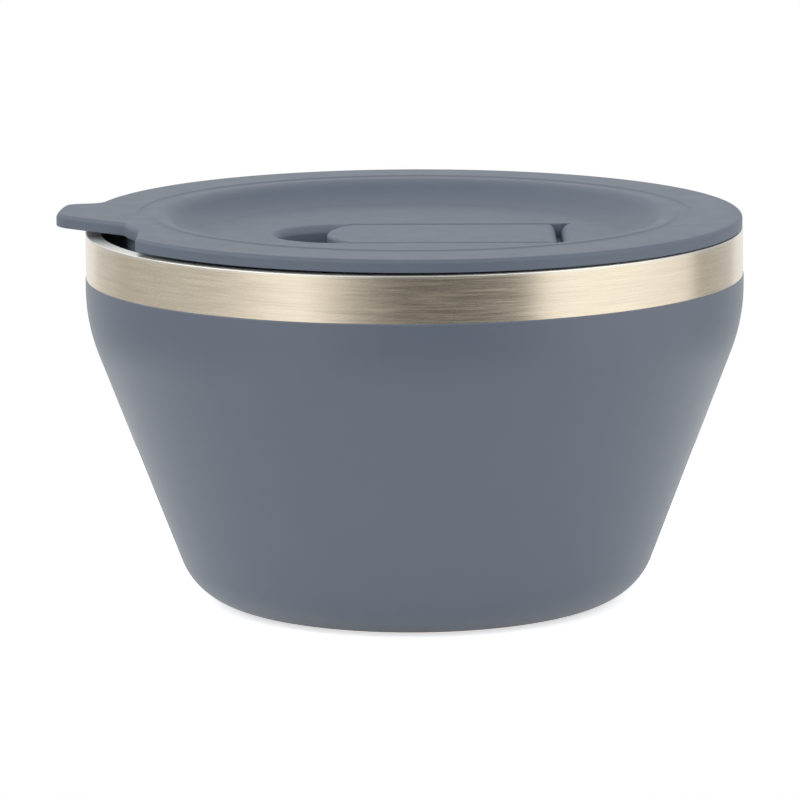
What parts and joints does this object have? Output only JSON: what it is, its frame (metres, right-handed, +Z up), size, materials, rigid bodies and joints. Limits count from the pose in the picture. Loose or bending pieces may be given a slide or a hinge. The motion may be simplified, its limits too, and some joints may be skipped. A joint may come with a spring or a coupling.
{
  "type": "insulated bowl with lid",
  "caption": "Double-walled steel food bowl, powder coated below a bare brushed band, with a press-in lid, pull tab and hinged vent flap.",
  "frame": {"origin": "on the bowl's axis, on the plane that it stands on", "axes": "+Z up along the bowl's axis, the lid's pull tab towards -X, the vent flap's hinge line along Y"},
  "size_m": [0.1464, 0.1402, 0.0836],
  "materials": {
    "brushed_shell": "brushed around the bowl",
    "liner_steel": "brushed inside, light satin on the rim",
    "base_steel": "satin",
    "seal_metal": "as cast",
    "getter_metal": "sintered",
    "coat": "matt powder coat",
    "lid_plastic": "fine matt moulding",
    "silicone": "matt translucent white"
  },
  "bodies": {
    "bowl": {"outer_shell": "brushed_shell", "powder_coat": "coat", "inner_bowl": "liner_steel", "base_plate": "base_steel", "vacuum_seal": "seal_metal", "getter": "getter_metal", "getter_clip": "base_steel", "base_cover": "base_steel"},
    "lid": {"lid_cover": "lid_plastic", "lid_gasket": "silicone"},
    "vent_flap": {"vent_flap": "lid_plastic", "vent_stopper": "silicone"}
  },
  "joints": [
    {"name": "lid_lift", "type": "slide", "parent": "bowl", "child": "lid", "axis": [0, 0, 1], "range_m": [0, 0.12]},
    {"name": "flap_hinge", "type": "hinge", "parent": "lid", "child": "vent_flap", "pos_m": [0.02863, -0.00025, 0.07672], "axis": [0, 1, 0], "range_deg": [0, 100]}
  ]
}
